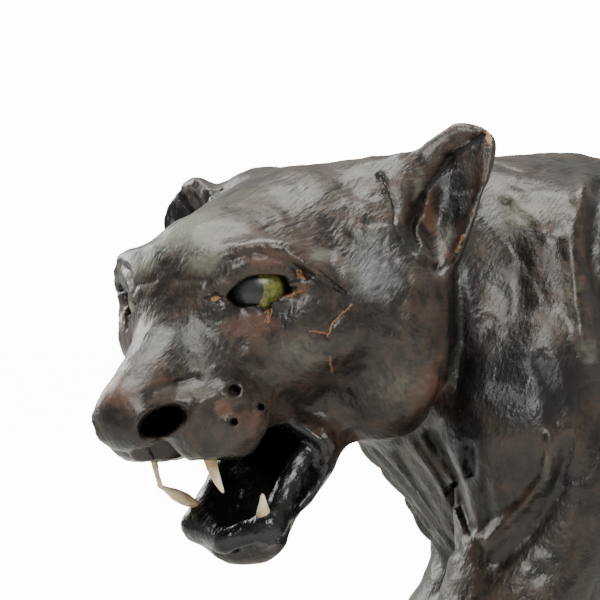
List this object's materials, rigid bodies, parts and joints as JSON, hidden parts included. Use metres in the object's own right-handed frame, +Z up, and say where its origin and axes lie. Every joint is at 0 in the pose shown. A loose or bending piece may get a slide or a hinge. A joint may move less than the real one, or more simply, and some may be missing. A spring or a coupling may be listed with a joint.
{
  "type": "leather panther bust",
  "caption": "Head and shoulders of a prowling panther in aged dark leather, with a snarling open mouth, glass eyes and fangs, standing on a flat underside.",
  "frame": {"origin": "on the flat underside, on the middle plane of the trunk", "axes": "+Z up, the animal faces -Y, its own left side is +X"},
  "size_m": [0.1085, 0.2221, 0.14],
  "materials": {
    "leather": "aged dark brown to black leather, half gloss, worn reddish brown at the face, cracked under the eyes",
    "glass_eye": "glossy glass eye, yellow-green iris round a dark pupil, painted from behind so that nothing is seen through it",
    "fang": "ivory to tan yellow, half gloss"
  },
  "bodies": {
    "root": {"leather_bust": "leather", "glass_eye_left": "glass_eye", "glass_eye_right": "glass_eye", "upper_fang_left": "fang", "upper_fang_right": "fang", "lower_fang_left": "fang", "lower_fang_right": "fang"}
  },
  "joints": []
}
